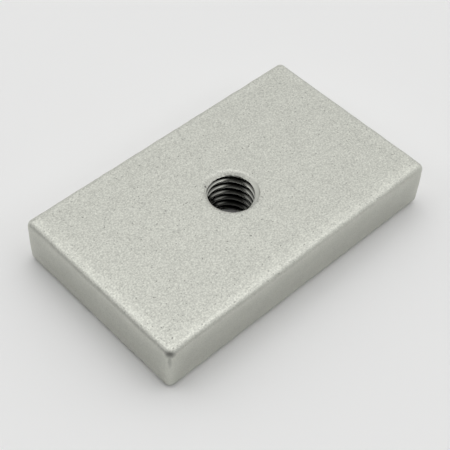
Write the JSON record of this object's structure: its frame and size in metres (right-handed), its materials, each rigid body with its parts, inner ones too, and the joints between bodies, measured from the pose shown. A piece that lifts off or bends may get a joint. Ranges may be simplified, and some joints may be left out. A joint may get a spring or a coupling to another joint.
{
  "type": "threaded backing plate",
  "caption": "Solid rectangular metal plate with rounded edges and a countersunk tapped hole through its middle, set behind a panel to take a fixing screw.",
  "frame": {"origin": "middle of the face that the plate lies on, on the tapped hole's axis", "axes": "+X along the plate's length, +Y across its width, +Z along the tapped hole, up through the thickness"},
  "size_m": [0.05, 0.03, 0.008],
  "materials": {
    "metal": "tumbled, matte"
  },
  "bodies": {
    "root": {"backing_plate": "metal"}
  },
  "joints": []
}
